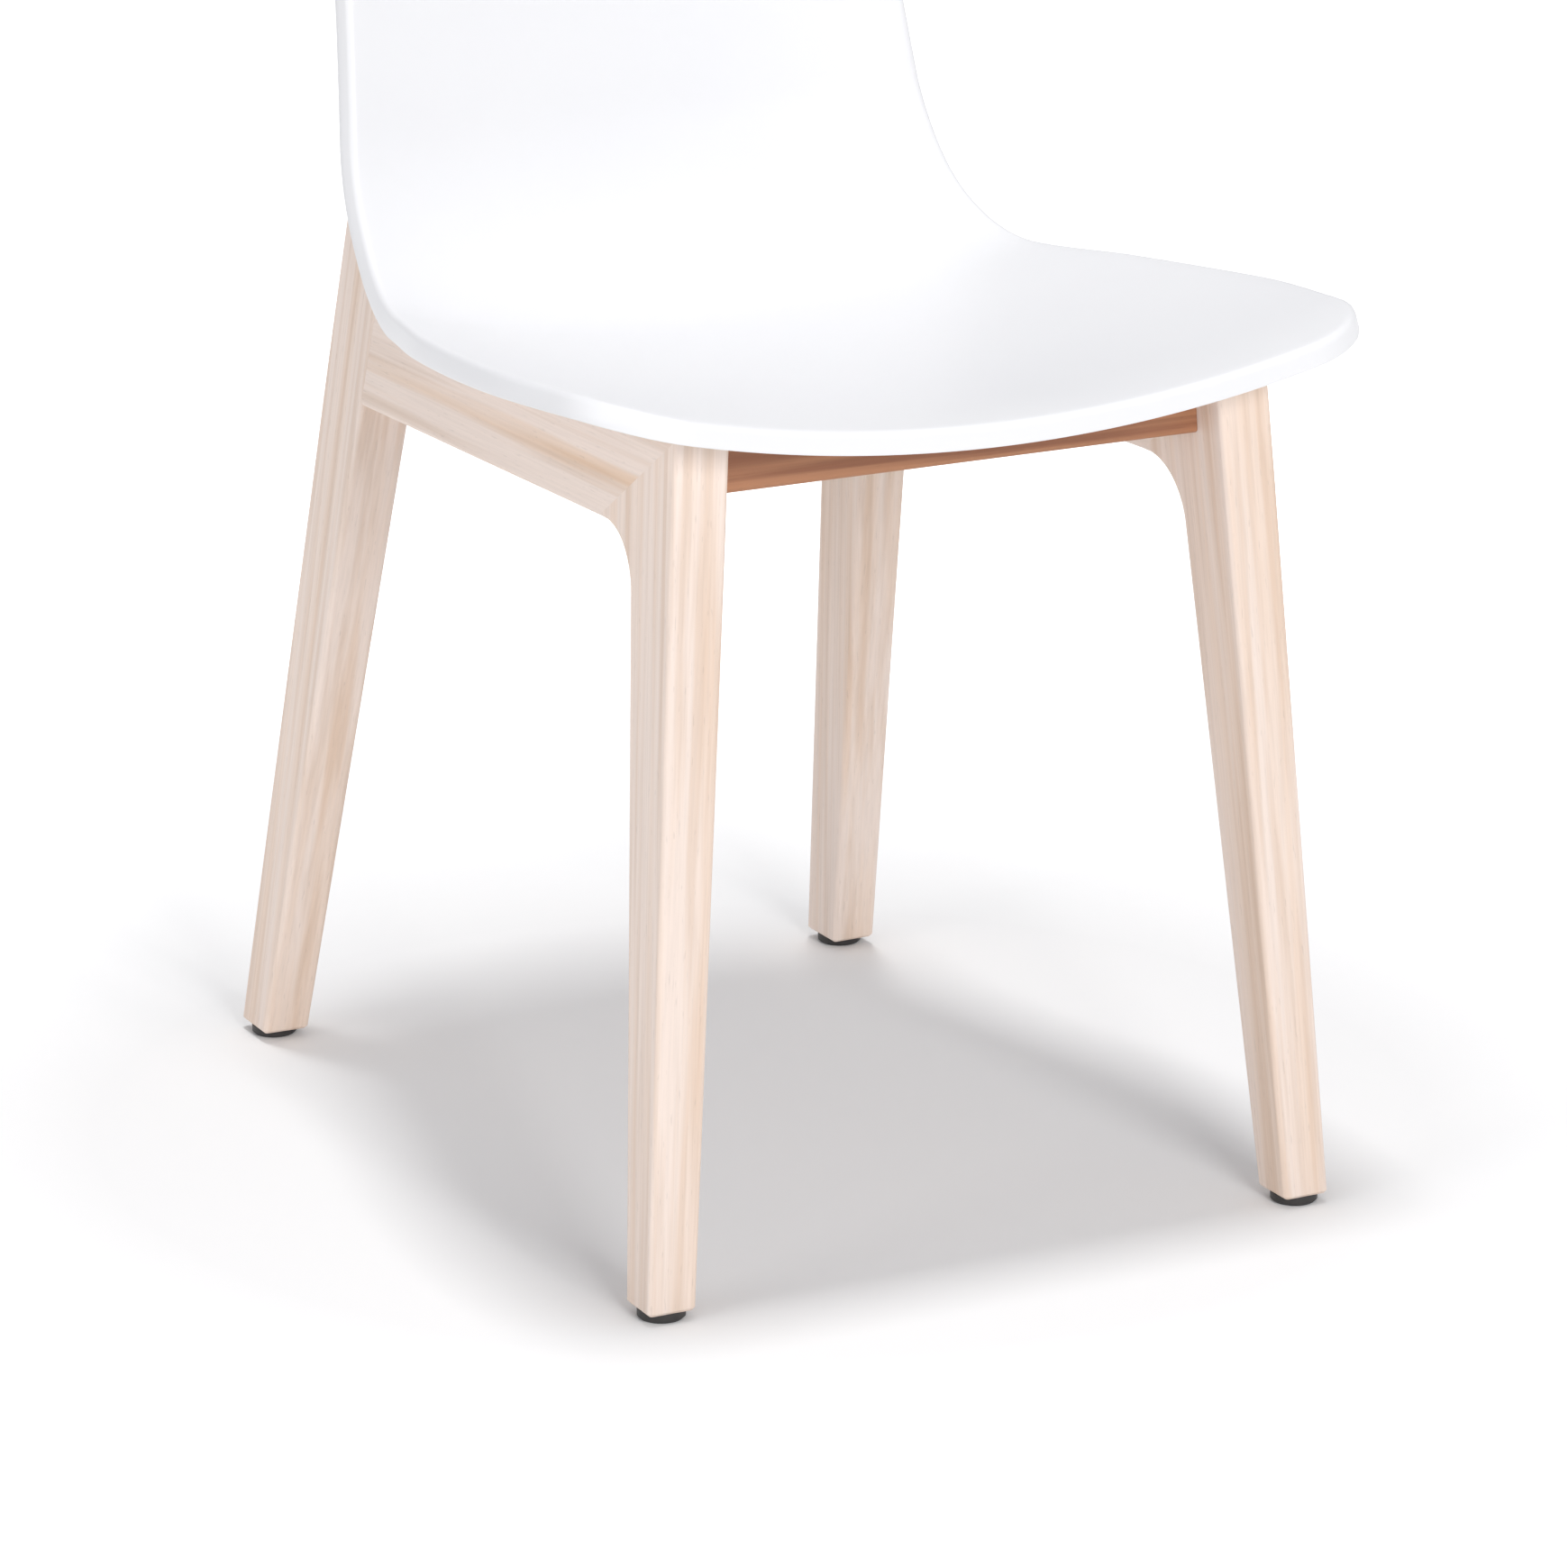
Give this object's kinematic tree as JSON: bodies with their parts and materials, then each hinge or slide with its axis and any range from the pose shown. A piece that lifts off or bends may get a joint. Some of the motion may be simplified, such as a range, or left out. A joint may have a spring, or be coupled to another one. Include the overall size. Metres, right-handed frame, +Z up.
{
  "type": "moulded plastic shell chair",
  "caption": "Dining chair: a white moulded shell that forms seat and back, on a doweled pale wooden frame with splayed, tapered legs.",
  "frame": {"origin": "on the floor, in the middle of the chair's outer box", "axes": "+Z up; the chair faces -Y; X = 0 is its plane of symmetry, with the chair's left side, seen from the front, on -X"},
  "size_m": [0.441, 0.5162, 0.8235],
  "materials": {
    "shell_plastic": "satin, white, moulded",
    "wood": "clear matt lacquer on pale straight-grained hardwood",
    "glide_plastic": "dark, turned",
    "steel": "zinc plated",
    "brass": "turned"
  },
  "bodies": {
    "root": {"seat_shell": "shell_plastic", "front_leg_left": "wood", "rear_leg_left": "wood", "side_rail_left": "wood", "front_leg_right": "wood", "rear_leg_right": "wood", "side_rail_right": "wood", "front_apron": "wood", "rear_apron": "wood", "corner_block_front_left": "wood", "corner_block_front_right": "wood", "corner_block_rear_left": "wood", "corner_block_rear_right": "wood", "frame_dowels_left": "wood", "frame_dowels_right": "wood", "front_apron_dowels": "wood", "rear_apron_dowels": "wood", "corner_block_screws": "steel", "shell_inserts": "brass", "shell_screws": "steel", "shell_screw_washers": "steel", "glide_front_left": "glide_plastic", "glide_front_right": "glide_plastic", "glide_rear_left": "glide_plastic", "glide_rear_right": "glide_plastic", "glide_nails": "steel"}
  },
  "joints": []
}
